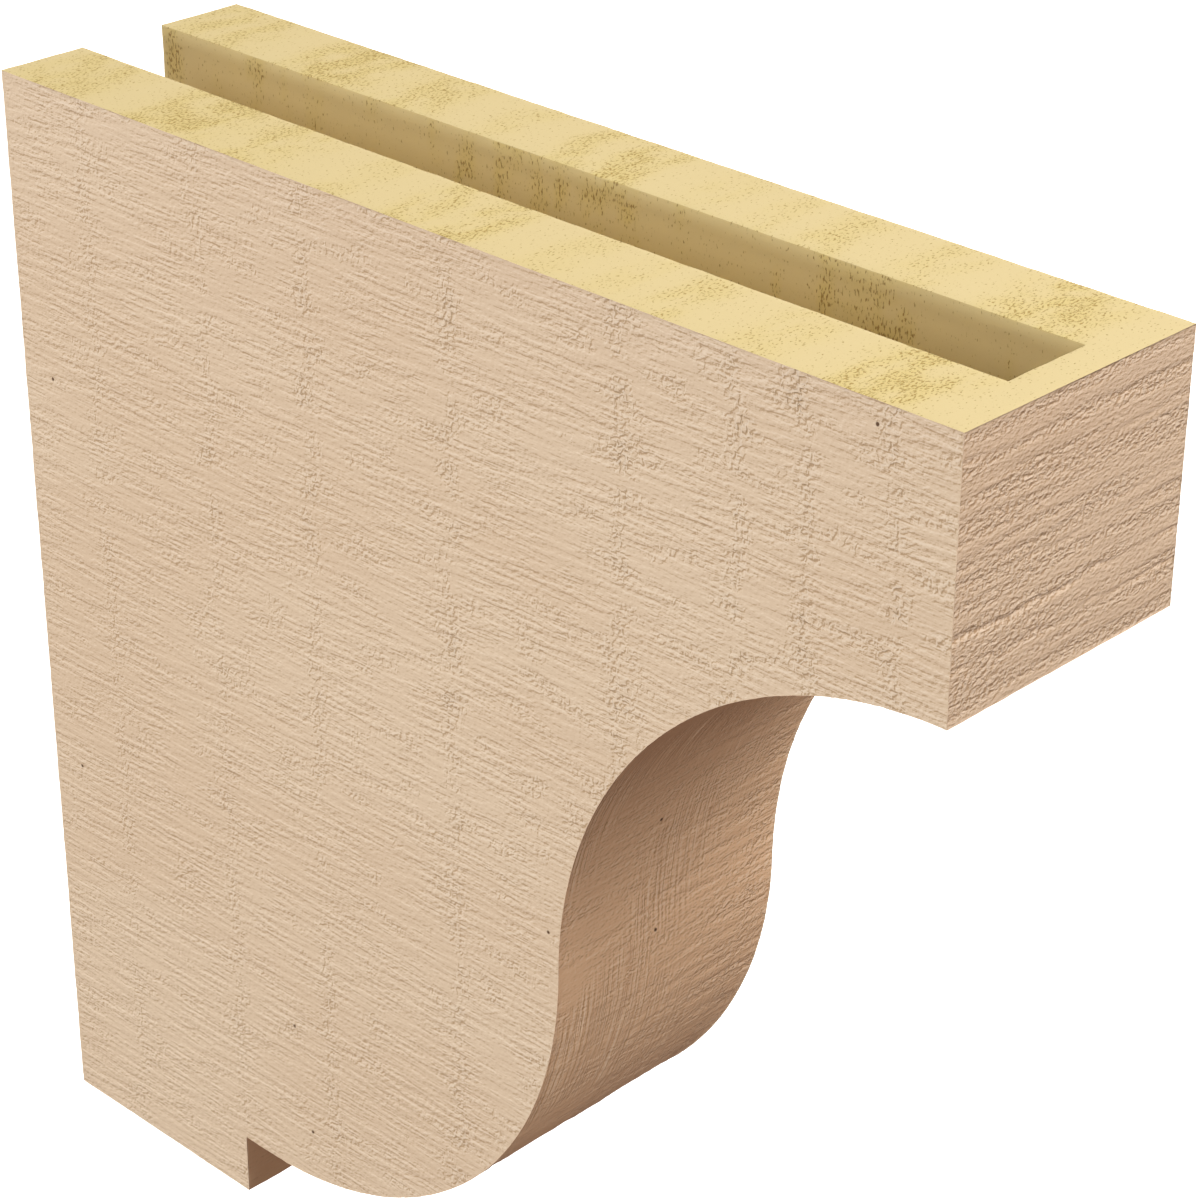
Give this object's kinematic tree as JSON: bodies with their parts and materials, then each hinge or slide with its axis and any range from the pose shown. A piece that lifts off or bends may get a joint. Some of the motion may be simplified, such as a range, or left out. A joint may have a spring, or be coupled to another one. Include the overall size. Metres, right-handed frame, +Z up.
{
  "type": "corbel",
  "caption": "Slim faux-timber wall corbel of moulded foam, square in side view with a cove and ovolo under its front and a bracket slot in its top.",
  "frame": {"origin": "centre of the flat back face, which lies on the wall, halfway up", "axes": "+Y out of the back face into the wall, +Z up, +X to the right seen from the front; the corbel stands out along -Y"},
  "size_m": [0.1016, 0.4064, 0.4064],
  "materials": {
    "primed_urethane": "tan primer coat over rough-sawn moulded foam, matt, with raw yellow foam on the top, the back and in the slot"
  },
  "bodies": {
    "root": {"corbel_body": "primed_urethane"}
  },
  "joints": []
}
